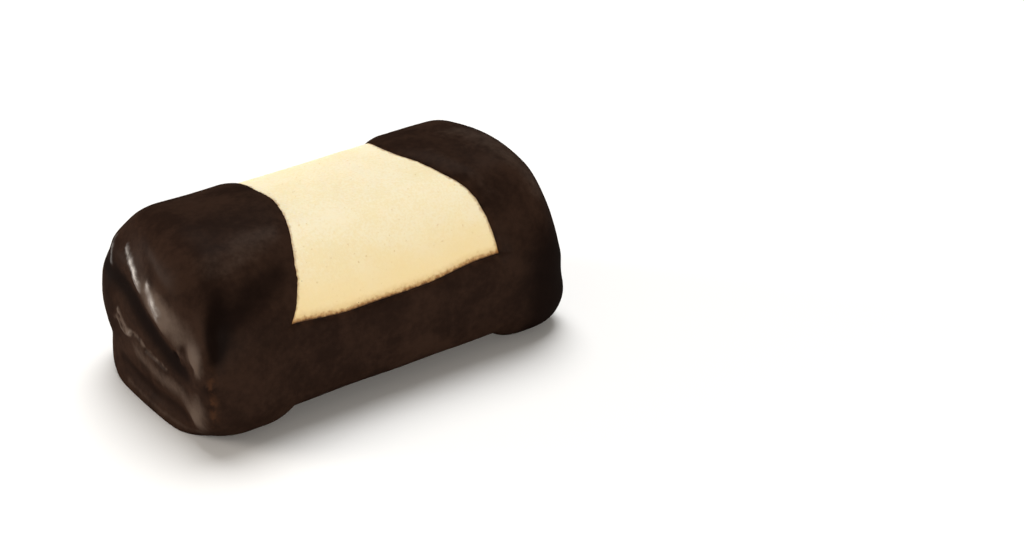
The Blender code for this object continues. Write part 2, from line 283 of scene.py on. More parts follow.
def relaxed(grid, rounds):
    # each inner point moves to the middle of its four neighbours, so that no cell folds over
    for _ in range(rounds):
        grid[1:-1, 1:-1] = (grid[:-2, 1:-1] + grid[2:, 1:-1] + grid[1:-1, :-2] + grid[1:-1, 2:]) / 4
    return grid


def finer(grid, times):
    # points of a grid with more points between them, on straight lines
    for axis in (0, 1):
        count = grid.shape[axis]
        where = np.linspace(0, count - 1, (count - 1) * times + 1)
        low = np.minimum(where.astype(int), count - 2)
        share = (where - low).reshape((-1, 1, 1) if axis == 0 else (1, -1, 1))
        grid = np.take(grid, low, axis) * (1 - share) + np.take(grid, low + 1, axis) * share
    return grid


def addEnd(loaf, form, layout, side):
    # a grid over the end face, spanned between the points of the last ring; its inside may be finer
    base = layout["base"]
    times = layout["endTimes"][0 if side < 0 else 1]
    across, up = 2 * base, loaf["half"] - 2 * base
    ringIds = loaf["tube"][0 if side < 0 else -1]
    grid = np.zeros((up + 1, across + 1), int)
    grid[0] = ringIds[(base - np.arange(across + 1)) % loaf["ring"]]
    grid[up] = ringIds[base + up + np.arange(across + 1)]
    grid[:, 0] = ringIds[base + np.arange(up + 1)]
    grid[:, across] = ringIds[loaf["ring"] - base - np.arange(up + 1)]
    spots = loaf["places"][grid]
    v = np.linspace(0.0, 1.0, up + 1)[:, None, None]
    u = np.linspace(0.0, 1.0, across + 1)[None, :, None]
    spots[1:-1, 1:-1] = ((1 - u) * spots[:, :1] + u * spots[:, -1:])[1:-1, 1:-1]
    spots = relaxed(spots, layout["relaxRounds"])
    # 16 makes the bulge whole in the middle of the face
    spots[..., 0] += (side * form["endBulge"] * 16 * u * (1 - u) * v * (1 - v))[..., 0]
    inner = finer(spots[1:-1, 1:-1], times)
    first = len(loaf["places"])
    fine = first + np.arange(inner.shape[0] * inner.shape[1]).reshape(inner.shape[:2])
    grid[1:-1, 1:-1] = fine[::times, ::times]
    loaf["places"] = np.vstack([loaf["places"], inner.reshape(-1, 3)])
    for key in ("pastCap", "belowLine"):
        loaf[key] = np.concatenate([loaf[key], np.ones(fine.size)])
    return {"grid": grid, "fine": fine, "times": times, "flip": side > 0}


def quads(grid, flip=False):
    # the four corners of every cell of a grid of vertex numbers, flat
    corners = [grid[:-1, :-1], grid[1:, :-1], grid[1:, 1:], grid[:-1, 1:]]
    cells = np.stack(corners, axis=-1).reshape(-1, 4)
    return cells[:, ::-1] if flip else cells


def endSkirt(end):
    # the cells between the last ring and the finer inside, as polygons
    grid, fine, times = end["grid"], end["fine"], end["times"]
    sides = [
        (grid[0], fine[0]),
        (grid[:, -1], fine[:, -1]),
        (grid[-1, ::-1], fine[-1, ::-1]),
        (grid[::-1, 0], fine[::-1, 0]),
    ]
    faces = []
    for outer, inner in sides:
        for number in range(1, len(outer) - 2):
            between = inner[(number - 1) * times : number * times + 1]
            faces.append([outer[number + 1], outer[number], *between])
    corners = [grid[:2, :2], grid[:2, -2:], grid[-2:, :2], grid[-2:, -2:]]
    faces += [list(quads(corner)[0]) for corner in corners]
    return [face[::-1] if end["flip"] else face for face in faces]


def tubeFaces(loaf, stride=1, onlyCovered=False):
    # faces round the bar, outward; with onlyCovered, without those of the bare window
    tube = loaf["tube"][::stride, ::stride]
    cells = quads(np.hstack([tube, tube[:, :1]]))
    if onlyCovered:
        rowNumbers, indices = np.indices((tube.shape[0] - 1, tube.shape[1])) * stride
        first, last = loaf["window"]
        inWindow = (rowNumbers >= first) & (rowNumbers < last)
        inWindow &= (indices >= loaf["lineIndex"]) & (indices < loaf["ring"] - loaf["lineIndex"])
        cells = cells[~inWindow.reshape(-1)]
    return cells


def coarseEnds(loaf, stride=1):
    return np.vstack([quads(end["grid"][::stride, ::stride], end["flip"]) for end in loaf["ends"]])


def skinNormals(loaf, places):
    # coarse cells serve the rings, and fine ones the insides of the ends
    fine = [quads(end["fine"], end["flip"]) for end in loaf["ends"]]
    return vertexNormals(places, np.vstack([tubeFaces(loaf), coarseEnds(loaf), *fine]))


def skinFaces(loaf, onlyCovered=False):
    faces = tubeFaces(loaf, onlyCovered=onlyCovered).tolist()
    for end in loaf["ends"]:
        if end["times"] == 1:
            faces += quads(end["grid"], end["flip"]).tolist()
        else:
            faces += quads(end["fine"], end["flip"]).tolist() + endSkirt(end)
    return faces


def vertexNormals(places, faces):
    # area-weighted, from the two diagonals of each face
    across = places[faces[:, 2]] - places[faces[:, 0]]
    over = places[faces[:, 3]] - places[faces[:, 1]]
    faceNormals = np.cross(across, over)
    normals = np.zeros_like(places)
    for corner in range(4):
        np.add.at(normals, faces[:, corner], faceNormals)
    tiny = 1e-20
    return normals / np.maximum(np.linalg.norm(normals, axis=1), tiny)[:, None]


def addObject(name, data):
    made = bpy.data.objects.new(name, data)
    bpy.context.scene.collection.objects.link(made)
    return made


def makeMesh(name, places, faces, attributes):
    mesh = bpy.data.meshes.new(name)
    mesh.from_pydata(places.tolist(), [], faces)
    for key, values in attributes.items():
        attribute = mesh.attributes.new(key, "FLOAT", "POINT")
        attribute.data.foreach_set("value", np.ascontiguousarray(values, np.float32))
    mesh.polygons.foreach_set("use_smooth", np.ones(len(mesh.polygons), bool))
    mesh.update()
    return addObject(name, mesh)


# Trees of nodes, for shaders and for geometry

bumpDistance = 0.0001
noiseMiddle = 0.5


def operators(operation):
    # a Python operator and its reflected form; each use adds one Math node
    def plain(self, other):
        return self.maker.add("ShaderNodeMath", {"operation": operation}, {0: self, 1: other})

    def reflected(self, other):
        return self.maker.add("ShaderNodeMath", {"operation": operation}, {0: other, 1: self})

    return plain, reflected


class Term:
    # a socket that takes part in Python sums

    def __init__(self, maker, socket):
        self.maker = maker
        self.socket = socket

    __add__, __radd__ = operators("ADD")
    __sub__, __rsub__ = operators("SUBTRACT")
    __mul__, __rmul__ = operators("MULTIPLY")
    __truediv__, __rtruediv__ = operators("DIVIDE")


class Maker:
    # adds nodes to one tree

    def __init__(self, tree):
        self.tree = tree

    def add(self, kind, settings=None, sockets=None, out=0):
        node = self.tree.nodes.new(kind)
        for key, value in (settings or {}).items():
            setattr(node, key, value)
        for key, value in (sockets or {}).items():
            socket = node.inputs[key]
            if isinstance(value, Term):
                self.tree.links.new(value.socket, socket)
            else:
                socket.default_value = value
        return Term(self, node.outputs[out])

    def mapRange(self, value, low, high, toLow=0.0, toHigh=1.0):
        sockets = {0: value, 1: low, 2: high, 3: toLow, 4: toHigh}
        return self.add("ShaderNodeMapRange", {"interpolation_type": "SMOOTHSTEP"}, sockets)

    def blend(self, share, first, second):
        # 6 and 7 are the Mix node's colour sockets, and 2 its colour output
        sockets = {0: share, 6: first, 7: second}
        return self.add("ShaderNodeMix", {"data_type": "RGBA"}, sockets, out=2)

    def noise(self, where, size, detail=2.0, roughness=0.5, distortion=0.0):
        sockets = {"Vector": where, "Scale": 1.0 / size, "Detail": detail}
        sockets |= {"Roughness": roughness, "Distortion": distortion}
        return self.add("ShaderNodeTexNoise", None, sockets)

    def noises(self, where, choices):
        return [self.noise(where, **choice) for choice in choices.values()]

    def attribute(self, name):
        # 2 is the number's output
        return self.add("ShaderNodeAttribute", {"attribute_name": name}, None, out=2)

    def bump(self, strength, height):
        sockets = {"Strength": strength, "Distance": bumpDistance, "Height": height}
        return self.add("ShaderNodeBump", None, sockets)

    def feed(self, term, socketName):
        # into the shader of a material
        shader = self.tree.nodes["Principled BSDF"]
        self.tree.links.new(term.socket, shader.inputs[socketName])

    def pointValue(self, name):
        # an attribute of the points, in a geometry tree
        return self.add("GeometryNodeInputNamedAttribute", {"data_type": "FLOAT"}, {"Name": name})


def newMaterial(name, constants):
    # constants are set on the shader's own sockets; 3 is the Object output of the coordinates
    material = bpy.data.materials.new(name)
    material.use_nodes = True
    maker = Maker(material.node_tree)
    shader = material.node_tree.nodes["Principled BSDF"]
    for key, value in constants.items():
        shader.inputs[key].default_value = value
    where = maker.add("ShaderNodeTexCoord", None, None, out=3)
    return material, maker, where


def newGeometryTree(name, numbers):
    # a tree that takes a surface, a material and the named numbers
    tree = bpy.data.node_groups.new(name, "GeometryNodeTree")
    kinds = {"Geometry": "NodeSocketGeometry", "Material": "NodeSocketMaterial"}
    kinds |= {number: "NodeSocketFloat" for number in numbers}
    for label, kind in kinds.items():
        tree.interface.new_socket(name=label, in_out="INPUT", socket_type=kind)
    tree.interface.new_socket(name="Geometry", in_out="OUTPUT", socket_type=kinds["Geometry"])
    maker = Maker(tree)
    entry = tree.nodes.new("NodeGroupInput")
    given = {socket.name: Term(maker, socket) for socket in entry.outputs if socket.name}
    return tree, maker, given


def closeTree(maker, geometry, material):
    # real meshes in one material, as the export needs
    realized = maker.add("GeometryNodeRealizeInstances", None, {"Geometry": geometry})
    sockets = {"Geometry": realized, "Material": material}
    painted = maker.add("GeometryNodeSetMaterial", None, sockets)
    leaving = maker.tree.nodes.new("NodeGroupOutput")
    maker.tree.links.new(painted.socket, leaving.inputs["Geometry"])


def runTree(tree, source, values, name):
    # runs a geometry tree on source and returns its result as a plain mesh in a new object
    modifier = source.modifiers.new(tree.name, "NODES")
    modifier.node_group = tree
    for item in tree.interface.items_tree:
        if item.in_out == "INPUT" and item.name in values:
            modifier[item.identifier] = values[item.name]
    graph = bpy.context.evaluated_depsgraph_get()
    mesh = bpy.data.meshes.new_from_object(source.evaluated_get(graph), depsgraph=graph)
    source.modifiers.remove(modifier)
    mesh.name = name
    return addObject(name, mesh)


def reliefTree():
    # pushes a surface in and out along its normals, as much as its own "relief" attribute allows
    numbers = ["Swell Size", "Swell Height", "Grain Size", "Grain Height", "Seed"]
    tree, maker, given = newGeometryTree("relief", numbers)
    where = maker.add("GeometryNodeInputPosition")
    normal = maker.add("GeometryNodeInputNormal")
    height = None
    for kind in ("Swell", "Grain"):
        sockets = {"Vector": where, "Scale": 1.0 / given[kind + " Size"], "W": given["Seed"]}
        pattern = maker.add("ShaderNodeTexNoise", {"noise_dimensions": "4D"}, sockets)
        layer = (pattern - noiseMiddle) * given[kind + " Height"] * 2.0
        height = layer if height is None else height + layer
    sockets = {"Vector": normal, "Scale": height * maker.pointValue("relief")}
    offset = maker.add("ShaderNodeVectorMath", {"operation": "SCALE"}, sockets)
    sockets = {"Geometry": given["Geometry"], "Offset": offset}
    moved = maker.add("GeometryNodeSetPosition", None, sockets)
    closeTree(maker, moved, given["Material"])
    return tree


sizeSpread = 0.7  # the smallest lumps are this much smaller than the largest
narrowness = 0.7


def scatterTree():
    # small lumps, strewn over a surface where its "strewn" attribute says
    numbers = ["Size", "Flatness", "Density", "Seed"]
    tree, maker, given = newGeometryTree("scatter", numbers)
    seed = given["Seed"]
    thickly = maker.pointValue("strewn") * given["Density"]
    sockets = {"Mesh": given["Geometry"], "Density": thickly, "Seed": seed}
    spread = maker.add("GeometryNodeDistributePointsOnFaces", None, sockets)
    outward = Term(maker, spread.socket.node.outputs["Rotation"])

    def between(low, high, drawSeed):
        # a random number; 1 is the plain number output
        bounds = {"Min": low, "Max": high, "Seed": drawSeed}
        return maker.add("FunctionNodeRandomValue", {"data_type": "FLOAT"}, bounds, out=1)

    spinAxis = maker.add("ShaderNodeCombineXYZ", None, {"Z": between(0.0, 2 * math.pi, seed)})
    spin = maker.add("FunctionNodeEulerToRotation", None, {0: spinAxis})
    sockets = {"Rotation": outward, "Rotate By": spin}
    rotation = maker.add("FunctionNodeRotateRotation", {"rotation_space": "LOCAL"}, sockets)
    size = between(given["Size"] * (1.0 - sizeSpread), given["Size"], seed + 1.0)
    sockets = {"X": size, "Y": size * narrowness, "Z": size * given["Flatness"]}
    scale = maker.add("ShaderNodeCombineXYZ", None, sockets)
    lump = maker.add("GeometryNodeMeshIcoSphere", None, {"Radius": 1.0, "Subdivisions": 2})
    sockets = {"Points": spread, "Instance": lump, "Rotation": rotation, "Scale": scale}
    placed = maker.add("GeometryNodeInstanceOnPoints", None, sockets)
    closeTree(maker, placed, given["Material"])
    return tree


# Materials

chocolateLook = {
    "fixed": {"Specular IOR Level": 0.0, "Coat Roughness": 0.38, "Coat IOR": 1.45},
    "dark": (0.0145, 0.0075, 0.0051, 1.0),
    "light": (0.0265, 0.0138, 0.009, 1.0),
    "warm": (0.086, 0.036, 0.0165, 1.0),
    # pale colour for painted highlights and sheen, and for random smears of bloom
    "paintedSheenAndBloom": (0.09, 0.064, 0.05, 1.0),
    # colour of painted shade
    "paintedShade": (0.005, 0.0027, 0.0021, 1.0),
    "noises": {
        "patches": {"size": 0.0075, "detail": 3.0, "distortion": 0.6},
        "mottle": {"size": 0.0011, "detail": 3.0, "roughness": 0.6},
        "smears": {"size": 0.0052, "detail": 4.0, "roughness": 0.65},
        "blotches": {"size": 0.0019, "detail": 3.0, "roughness": 0.6},
        "scuffs": {"size": 0.0023, "detail": 5.0, "roughness": 0.62, "distortion": 0.4},
        "dimples": {"size": 0.00055},
        "waves": {"size": 0.0019},
    },
    # each is a sum of patterns by their shares, and the range of it that goes from none to all
    "tone": {"patches": 0.65, "mottle": 0.35, "range": (0.36, 0.66)},
    "paintedSheenAndSmears": {"drawn": 0.8, "smears": 0.6, "mottle": 0.3, "range": (0.05, 1.2)},
    "shaded": {"range": (0.0, -1.0, 0.0, 0.9)},
    "reddened": {"range": (0.4, 0.66)},
    "scuffed": {"scuffs": 0.6, "patches": 0.4, "range": (0.34, 0.66)},
    "wet": {"mottle": 2.4, "less": 0.2, "scuffs": 0.3, "range": (0.05, 0.85)},
    "roughness": (0.28, 0.44),
    "gloss": (0.025, 0.9),  # coat weight away from the streaks, and on them
    "bump": {"strength": 0.3, "dimples": 0.35},
}


def makeChocolate():
    look = chocolateLook
    material, maker, where = newMaterial("dark_chocolate", look["fixed"])
    patches, mottle, smears, blotches, scuffs, dimples, waves = maker.noises(where, look["noises"])
    # the tone attribute holds painted highlights above zero and painted shade below zero
    drawn = maker.attribute("tone")
    part = look["tone"]
    tone = maker.mapRange(patches * part["patches"] + mottle * part["mottle"], *part["range"])
    colour = maker.blend(tone, look["dark"], look["light"])
    # paler with painted highlights and sheen where the tone is above zero, and with random smears
    part = look["paintedSheenAndSmears"]
    paintedSheenAndSmears = drawn * part["drawn"] + (smears - noiseMiddle) * part["smears"]
    paintedSheenAndSmears += (mottle - noiseMiddle) * part["mottle"]
    colour = maker.blend(maker.mapRange(paintedSheenAndSmears, *part["range"]), colour, look["paintedSheenAndBloom"])
    # painted shade where the tone is below zero
    shaded = maker.mapRange(drawn, *look["shaded"]["range"])
    colour = maker.blend(shaded, colour, look["paintedShade"])
    reddened = maker.attribute("thin") * maker.mapRange(blotches, *look["reddened"]["range"])
    colour = maker.blend(reddened, colour, look["warm"])
    maker.feed(colour, "Base Color")
    part = look["scuffed"]
    scuffed = scuffs * part["scuffs"] + patches * part["patches"]
    rough = maker.mapRange(scuffed, *part["range"], *look["roughness"])
    maker.feed(rough, "Roughness")
    part = look["wet"]
    wet = maker.attribute("shine") * (mottle * part["mottle"] - part["less"])
    wet += (scuffs - noiseMiddle) * part["scuffs"]
    glossy = maker.mapRange(wet, *part["range"], *look["gloss"])
    maker.feed(glossy, "Coat Weight")
    part = look["bump"]
    bump = maker.bump(part["strength"], dimples * part["dimples"] + waves)
    maker.feed(bump, "Normal")
    return material


marzipanLook = {
    "fixed": {
        "Specular IOR Level": 0.3,
        "Subsurface Weight": 0.25,
        "Subsurface Radius": (1.0, 0.65, 0.3),
        "Subsurface Scale": 0.0008,
    },
    "pale": (0.812, 0.728, 0.515, 1.0),
    "cream": (0.79, 0.68, 0.425, 1.0),
    # colour of the painted shade toward the bottom
    "shadedYellow": (0.8, 0.645, 0.35, 1.0),
    # colour of the painted shade in the pits
    "pitShade": (0.64, 0.46, 0.23, 1.0),
    "halo": (0.52, 0.3, 0.09, 1.0),
    "stain": (0.3, 0.12, 0.022, 1.0),  # fat and chocolate drawn into the edge
    "edgeBrown": (0.06, 0.024, 0.009, 1.0),
    "noises": {
        "broad": {"size": 0.0065, "detail": 3.0},
        "grain": {"size": 0.00042, "detail": 3.0, "roughness": 0.6},
        "fine": {"size": 0.00019, "detail": 1.0},
        "ragged": {"size": 0.00065},
    },
    "tone": {"broad": 0.45, "grain": 0.55, "range": (0.4, 0.6)},
    # painted shade: darker and yellower toward the bottom, with random patches
    "shadedLow": {"lowness": 0.85, "broad": 0.35, "range": (0.05, 1.0)},
    "pits": {
        "spacing": 0.00125,
        "range": (0.11, 0.2, 1.0, 0.0),
        "grainRange": (0.5, 0.66),
        "share": 0.55,
    },
    "raggedness": 1.5,
    # along the dipped edges: distance, colour, width, raggedness, range and share
    "fringes": [
        ("toLine", "halo", 0.0019, 0.3, (0.0, 1.0), 0.55),
        ("toLine", "stain", 0.00085, 1.0, (0.1, 1.05), 0.85),
        ("toLine", "edgeBrown", 0.00042, 0.9, (0.05, 0.8), 0.9),
        ("toCap", "stain", 0.0006, 1.0, (0.0, 1.0), 0.6),
    ],
    "roughness": (0.35, 0.7, 0.58, 0.74),
    "bump": {"strength": 0.55, "grain": 0.6, "fine": 0.35, "pits": 0.8},
}


def makeMarzipan():
    look = marzipanLook
    material, maker, where = newMaterial("marzipan", look["fixed"])
    broad, grain, fine, ragged = maker.noises(where, look["noises"])
    part = look["tone"]
    tone = maker.mapRange(broad * part["broad"] + grain * part["grain"], *part["range"])
    colour = maker.blend(tone, look["pale"], look["cream"])
    # painted shade: darker and yellower toward the bottom, with random patches
    part = look["shadedLow"]
    low = maker.attribute("lowness") * part["lowness"] + (broad - noiseMiddle) * part["broad"]
    colour = maker.blend(maker.mapRange(low, *part["range"]), colour, look["shadedYellow"])
    # painted shade in the pits, which the bump also presses in
    part = look["pits"]
    sockets = {"Vector": where, "Scale": 1.0 / part["spacing"]}
    cells = maker.add("ShaderNodeTexVoronoi", {"feature": "F1"}, sockets)
    pits = maker.mapRange(cells, *part["range"]) * maker.mapRange(grain, *part["grainRange"])
    colour = maker.blend(pits * part["share"], colour, look["pitShade"])
    ragged = (ragged - noiseMiddle) * look["raggedness"]
    for edge, tint, width, raggedness, (low, high), share in look["fringes"]:
        distance = maker.attribute(edge) / width + ragged * raggedness
        fringe = maker.mapRange(distance, low, high, 1.0, 0.0)
        colour = maker.blend(fringe * share, colour, look[tint])
    maker.feed(colour, "Base Color")
    maker.feed(maker.mapRange(grain, *look["roughness"]), "Roughness")
    part = look["bump"]
    height = grain * part["grain"] + fine * part["fine"] - pits * part["pits"]
    maker.feed(maker.bump(part["strength"], height), "Normal")
    return material


almondLook = {
    "fixed": {"Roughness": 0.6, "Specular IOR Level": 0.3},
    "noise": {"size": 0.003, "detail": 1.0},
    "range": (0.35, 0.65),
    "light": (0.8, 0.63, 0.36, 1.0),
    "dark": (0.7, 0.5, 0.25, 1.0),
}


def makeAlmond():
    look = almondLook
    material, maker, where = newMaterial("almond_grain", look["fixed"])
    tone = maker.mapRange(maker.noise(where, **look["noise"]), *look["range"])
    maker.feed(maker.blend(tone, look["light"], look["dark"]), "Base Color")
    return material


chocolateMaterial = makeChocolate()
marzipanMaterial = makeMarzipan()
almondMaterial = makeAlmond()
relief = reliefTree()
scatter = scatterTree()
print("materials and trees built")


# Marzipan: the bare bar, finely meshed where it shows

marzipan = {
    "base": 10, "side": 8, "top": 116,  # cells of half a ring
    "endRows": 8,
    "endTimes": (1, 1),
    "relaxRounds": 200,
    "capRows": 6,
    "windowRows": 190,
    "bandLip": 0.0015,
    "capLip": 0.0022,
    "hiddenFade": 0.0006,  # relief ends over this length under the chocolate
    # the painted shade toward the bottom starts at this height and grows over this length
    "lowFrom": 0.0285,
    "lowOver": 0.0115,
    "relief": {
        "Swell Size": 0.0036, "Swell Height": 0.00006, "Grain Size": 0.0005,
        "Grain Height": 0.000028, "Seed": 3.0,
    },
}


def wavyBar(layout):
    # the bare bar with its slow unevenness
    loaf = buildLoaf(bareForm, layout)
    normals = skinNormals(loaf, loaf["places"])
    wave = noiseAt(loaf["places"], unevenness["waveLength"], unevenness["marzipanSeed"])
    return loaf, normals, loaf["places"] + normals * (unevenness["marzipanWave"] * wave)[:, None]


def makeMarzipanBody():
    loaf, _, places = wavyBar(marzipan)
    fade = marzipan["hiddenFade"]
    shows = smoothStep(1.0 - loaf["pastCap"] / fade) * smoothStep(1.0 - loaf["belowLine"] / fade)
    # how low each place is, which sets the painted shade toward the bottom
    lowness = smoothStep((marzipan["lowFrom"] - places[:, 2]) / marzipan["lowOver"])
    attributes = {
        "relief": shows,
        "toLine": -loaf["belowLine"],
        "toCap": -loaf["pastCap"],
        "lowness": lowness,
        "strewn": shows,
    }
    return makeMesh("marzipan_source", places, skinFaces(loaf), attributes)


marzipanSource = makeMarzipanBody()
inputs = marzipan["relief"] | {"Material": marzipanMaterial}
marzipanPiece = runTree(relief, marzipanSource, inputs, "marzipan")
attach(marzipanPiece, "root")
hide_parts("marzipan_cake")
print("marzipan done:", len(marzipanPiece.data.polygons), "faces")


# Chocolate: a thin band along the base and a thick dip over each end

coat = {
    "base": 48, "side": 27, "top": 84,
    "endRows": 24,
    "endTimes": (2, 1),  # the creased end is meshed finer
    "relaxRounds": 1500,
    "capRows": 30,
    "windowRows": 84,
    "bandLip": 0.0022,
    "capLip": 0.002,
    "stride": 3,  # the hidden inner skin is this much coarser
    "sunk": 0.00012,  # the inner skin's depth in the marzipan, so that no gap shows
    "bandThick": 0.00075,
    "edgeThick": 0.00016,
    "lipUnderneath": 0.0044,
    "lipBlend": 0.003,  # the dips thicken over this length
    "lipPower": 2.2,
    "sideLip": 0.008,  # where they run into the band
    "sideLipFade": 0.004,
    "footFade": 0.003,
    "edgeWidth": 0.0009,  # rim of the dip
    "edgeDark": 0.45,  # how much darker it is
    "edgeThin": 0.15,
    "reliefFade": 0.0008,
    "reliefFootFade": 0.001,
    "relief": {
        "Swell Size": 0.0031, "Swell Height": 0.00004, "Grain Size": 0.0011,
        "Grain Height": 0.000012, "Seed": 8.0,
    },
}

leftEnd = {
    "reach": 0.75,  # share of the rounding over which all this fades in
    "bead": {"height": 0.0008, "halfWidth": 0.015, "rise": 0.0034},
    # paths are (y, z) over the end face, with a radius and a height, in mm, a tone and a shine;
    # a mark is the last three; a tone above zero is painted highlight and below zero painted shade
    "paths": [
        # wet streaks down from the top, with painted highlights along them
        ([(11.6, 23.5), (10.9, 22.7), (10.4, 20.7)], 0.6, 0.14, 0.3, 0.6),
        ([(12.8, 20.3), (9.6, 20.0)], 0.6, 0.1, 0.3, 0.4),
        ([(6.6, 24.5), (3.9, 23.4), (2.0, 22.3), (0.0, 20.7)], 0.55, 0.16, 0.4, 0.7),
        ([(1.6, 21.6), (-0.4, 20.2)], 0.45, 0.12, 0.5, 0.4),
        ([(-1.6, 21.9), (-2.6, 20.8)], 0.4, 0.08, 0.4, 0.3),
        ([(-2.2, 21.0), (-3.5, 19.6), (-5.6, 17.9)], 0.7, 0.18, 0.4, 0.6),
        ([(-1.0, 21.0), (-4.5, 18.6), (-6.5, 17.0)], 1.9, 0.0, 0.85, 0.05),
        # broad band of painted highlight beside them, and on to the foot along the corner
        ([(-5.0, 19.6), (-9.0, 18.2), (-12.0, 16.6), (-15.0, 14.2)], 2.4, 0.1, 1.05, 0.1),
        ([(-15.0, 14.2), (-15.8, 11.0), (-16.2, 7.5), (-15.6, 4.5)], 2.0, 0.05, 0.9, 0.03),
        # two dimples beside the upright corner, with painted shade in them and a painted highlight
        # between
        ([(-12.5, 15.3), (-13.8, 14.1), (-14.6, 13.1)], 0.85, -0.3, -0.9, -0.3),
        ([(-10.0, 13.4), (-10.3, 13.1)], 0.6, -0.25, -0.7, -0.3),
        ([(-11.3, 14.2), (-11.7, 12.8)], 0.45, 0.1, 0.5, 0.1),
        # flap under the fold, with a painted highlight on it
        ([(1.1, 8.9), (-5.5, 7.7), (-11.7, 7.8), (-14.6, 4.8)], 1.8, 0.24, 0.7, 0.03),
        # thin rim of painted highlight along the foot, and a groove above it with painted shade
        ([(6.0, 1.5), (-6.0, 1.3), (-15.0, 1.7)], 0.55, 0.0, 0.45, 0.05),
        ([(8.5, 4.6), (3.8, 3.9), (-2.8, 3.5), (-9.3, 4.1), (-13.0, 3.4)], 1.3, -0.26, -0.6, -0.2),
        # lobe over the notch at the back, with painted shade on it
        ([(10.6, 15.0), (10.8, 9.5)], 2.0, 0.42, -0.4, -0.2),
        # small knot where the folds meet, with painted highlights on its ridges
        ([(7.4, 13.6), (6.8, 12.9), (5.8, 11.9), (4.8, 11.3), (3.4, 11.4)], 0.46, 0.2, 1.0, 0.15),
        ([(7.0, 12.0), (5.9, 10.9), (4.6, 10.9)], 0.4, 0.12, 0.8, 0.1),
        ([(7.8, 11.8), (7.1, 10.6), (5.8, 10.1), (4.4, 10.5), (3.4, 11.2)], 0.46, 0.2, 0.9, 0.15),
        ([(9.0, 11.6), (8.0, 12.4), (7.4, 13.6)], 0.46, 0.14, 0.6, 0.1),
    ],
    # a step that runs down across the face; it stands out above its line and is hollow below
    "shelf": [
        (14.0, 20.5), (7.7, 19.9), (4.1, 19.2), (1.3, 17.9), (-1.1, 16.3), (-4.1, 15.2),
        (-6.3, 14.2), (-8.8, 13.1), (-12.5, 12.2), (-17.0, 11.5),
    ],
    "shelfProfile": [  # height by how far above the line
        (-3.6, 0.0), (-1.8, -0.24), (-0.2, -0.42), (1.0, -0.22), (2.1, 0.08),
        (3.0, 0.04), (4.5, -0.36), (6.2, -0.5), (9.0, 0.0),
    ],
    # painted shade along the hollow below the step's line
    "shelfPaintedShade": {"above": -0.9, "radius": 2.1, "mark": (0.0, -1.0, -0.3)},
    "fold": [
        (3.4, 11.3), (2.2, 11.7), (1.1, 11.9), (0.2, 11.7), (-0.6, 11.2), (-1.4, 10.7),
        (-3.6, 10.5), (-5.7, 10.3), (-7.6, 9.9),
    ],
    # the fold's edge, raised, with a painted highlight along it
    "foldEdge": {
        "radius": 0.36, "mark": (0.12, 0.9, 0.12),
        "length": 0.0009, "seed": 3.0, "uneven": 1.3,
        "evenShare": 0.75, "least": 0.1, "most": 1.2,
    },
    "foldStep": 0.34,
    "foldEase": 0.7,
    "foldFade": 3.0,
    "foldBeyond": 2.0,  # the step ends this far past the fold's ends
    "foldSideFade": 3.0,
}

shoulders = [  # paths in (x, y, z) over the dips, with a radius and a height, in mm, and a tone
    # painted sheen along the left cap's shoulder
    ([(-27.6, -12.0, 27.1), (-22.8, -10.8, 28.1), (-17.8, -9.3, 28.7)], 3.4, 0.1, 0.35),
    # painted shade down the front of the left cap, under its shoulder
    (
        [(-31.5, -18.4, 18.6), (-28.4, -17.6, 21.0), (-24.3, -16.4, 23.2), (-19.5, -15.3, 24.3)],
        2.7, -0.16, -0.7,
    ),
    # painted shade down the upright front left corner
    ([(-29.6, -14.9, 24.6), (-31.3, -16.9, 21.0), (-32.5, -18.7, 16.0)], 1.7, 0.0, -0.8),
    # raised bead along the right cap's edge, with a painted highlight
    (
        [
            (17.2, -2.0, 30.2), (18.5, -6.4, 29.8), (19.8, -10.1, 28.8), (21.0, -13.8, 26.1),
            (22.1, -15.1, 24.8),
        ],
        1.5, 0.14, 0.2,
    ),
    # painted reflection along the right cap's upper rim
    (
        [(25.5, 2.0, 30.0), (27.5, -3.0, 29.5), (28.6, -9.6, 28.0), (30.4, -13.7, 24.0)],
        2.8, 0.0, 0.5,
    ),
    # painted shade low on the front of the right cap
    ([(30.0, -19.5, 12.0), (29.5, -19.5, 2.0)], 7.5, 0.0, -1.2),
]

cornerSpots = {  # thin, reddish chocolate down the upright corner
    "middle": (-0.0336, -0.0192, 0.0102),
    "radii": (0.0006, 0.0006, 0.0066),
    "strength": 0.55,
}

frontCorner = {  # the upright corner at the left of the front is sharper than the others
    "power": 5.0,
    "fadeFrom": 0.0262,
    "fadeOver": 0.009,
    "footPower": 2.0,
    "footHeight": 0.0065,
}

roundPower = 2.0  # of a true circle

bumps = [  # x, y, z, radius, height
    (-0.034, -0.003, 0.006, 0.003, -0.0001),
    (-0.033, 0.0152, 0.0062, 0.0036, -0.0011),
    (-0.033, 0.013, 0.0195, 0.005, 0.0006),
    (0.033, -0.016, 0.0058, 0.003, 0.0006),
    (0.033, -0.0155, 0.012, 0.0016, 0.0002),
]


def alongPath(spots, path):
    # distance of each spot from a broken line
    best = np.full(len(spots), np.inf)
    for start, stop in zip(path[:-1], path[1:]):
        start, run = np.array(start), np.array(stop) - np.array(start)
        share = np.clip((spots - start) @ run / (run @ run), 0.0, 1.0)
        best = np.minimum(best, np.linalg.norm(spots - start - share[:, None] * run, axis=1))
    return best


def bell(distance, radius):
    return np.exp(-((distance / radius) ** 2))


